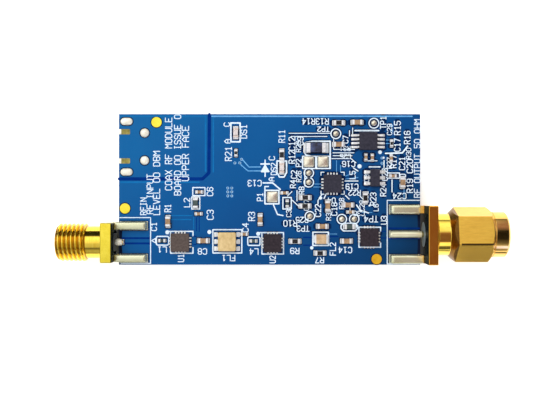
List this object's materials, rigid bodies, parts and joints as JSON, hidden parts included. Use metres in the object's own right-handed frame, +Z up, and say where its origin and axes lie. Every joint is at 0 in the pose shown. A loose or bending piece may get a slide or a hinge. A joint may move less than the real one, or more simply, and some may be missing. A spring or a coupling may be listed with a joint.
{
  "type": "coaxial radio frequency module",
  "caption": "Blue circuit board with a coaxial jack on one edge, a coaxial plug with a coupling nut on the other, a USB power port below and surface-mount parts above.",
  "frame": {"origin": "on the output plug axis, at the plug reference plane, where the centre pin leaves its shoulder", "axes": "+X out of the plug mouth along the board length, +Y across the board towards the USB port edge, +Z up from the component side"},
  "size_m": [0.0737, 0.025, 0.0096],
  "materials": {
    "blue_board": "blue solder mask over glass-epoxy laminate",
    "gold_land": "gold plated copper",
    "tinned_land": "solder coated copper",
    "gold_brass": "gold plated brass, turned",
    "gold_nut": "gold plated brass, turned and milled",
    "gold_contact": "gold plated copper alloy",
    "white_insulator": "fluoropolymer",
    "gasket_rubber": "silicone rubber",
    "spring_bronze": "spring bronze wire",
    "usb_steel": "tinned steel sheet",
    "black_moulding": "moulded",
    "brown_grey_moulding": "fine matt mould surface",
    "grey_moulding": "fine matt mould surface",
    "tin": "matt tin plating",
    "dark_ceramic": "fired ceramic",
    "tan_lid": "gold flashed lid, matt",
    "beige_ceramic": "fired ceramic",
    "tan_ceramic": "fired ceramic",
    "white_ceramic": "fired alumina",
    "black_film": "protective glaze",
    "green_ceramic": "dark green ferrite",
    "black_ferrite": "ferrite",
    "led_substrate": "white laminate",
    "led_resin": "clear cast resin"
  },
  "bodies": {
    "module": {"amplifier_chip_terminals": "tin", "amplifier_chips": "brown_grey_moulding", "capacitor_bodies": "tan_ceramic", "capacitor_end_caps": "tin", "ceramic_filter": "beige_ceramic", "ceramic_filter_terminals": "tin", "chip_part_lands": "tinned_land", "circuit_board": "blue_board", "connector_lands": "tinned_land", "control_chip": "grey_moulding", "control_chip_terminals": "tin", "fiducial_marks": "gold_land", "filter_base": "dark_ceramic", "filter_lid": "tan_lid", "filter_terminals": "tin", "inductor_bodies": "green_ceramic", "inductor_end_caps": "tin", "input_jack_body": "gold_brass", "input_jack_contact": "gold_contact", "input_jack_insulator": "white_insulator", "led_bases": "led_substrate", "led_end_terminals": "gold_land", "led_lenses": "led_resin", "output_plug_body": "gold_brass", "output_plug_insulator": "white_insulator", "output_plug_pin": "gold_contact", "package_lands": "tinned_land", "plug_gasket": "gasket_rubber", "power_inductor_body": "black_ferrite", "power_inductor_end_caps": "tin", "power_lands": "tinned_land", "regulator_chip": "grey_moulding", "regulator_chip_leads": "tin", "resistor_bodies": "white_ceramic", "resistor_end_caps": "tin", "resistor_films": "black_film", "switch_chip": "grey_moulding", "switch_chip_leads": "tin", "test_lands": "tinned_land", "usb_contact_lands": "tinned_land", "usb_contacts": "gold_contact", "usb_edge_lands": "gold_land", "usb_hole_lands": "tinned_land", "usb_housing": "black_moulding", "usb_shell": "usb_steel"},
    "ring": {"retaining_ring": "spring_bronze"},
    "nut": {"coupling_nut": "gold_nut"}
  },
  "joints": [
    {"name": "nut_float", "type": "slide", "parent": "module", "child": "ring", "axis": [1, 0, 0], "range_m": [0, 0.0002]},
    {"name": "nut_spin", "type": "hinge", "parent": "ring", "child": "nut", "pos_m": [-0.004, 0, 0], "axis": [1, 0, 0], "continuous": true}
  ]
}
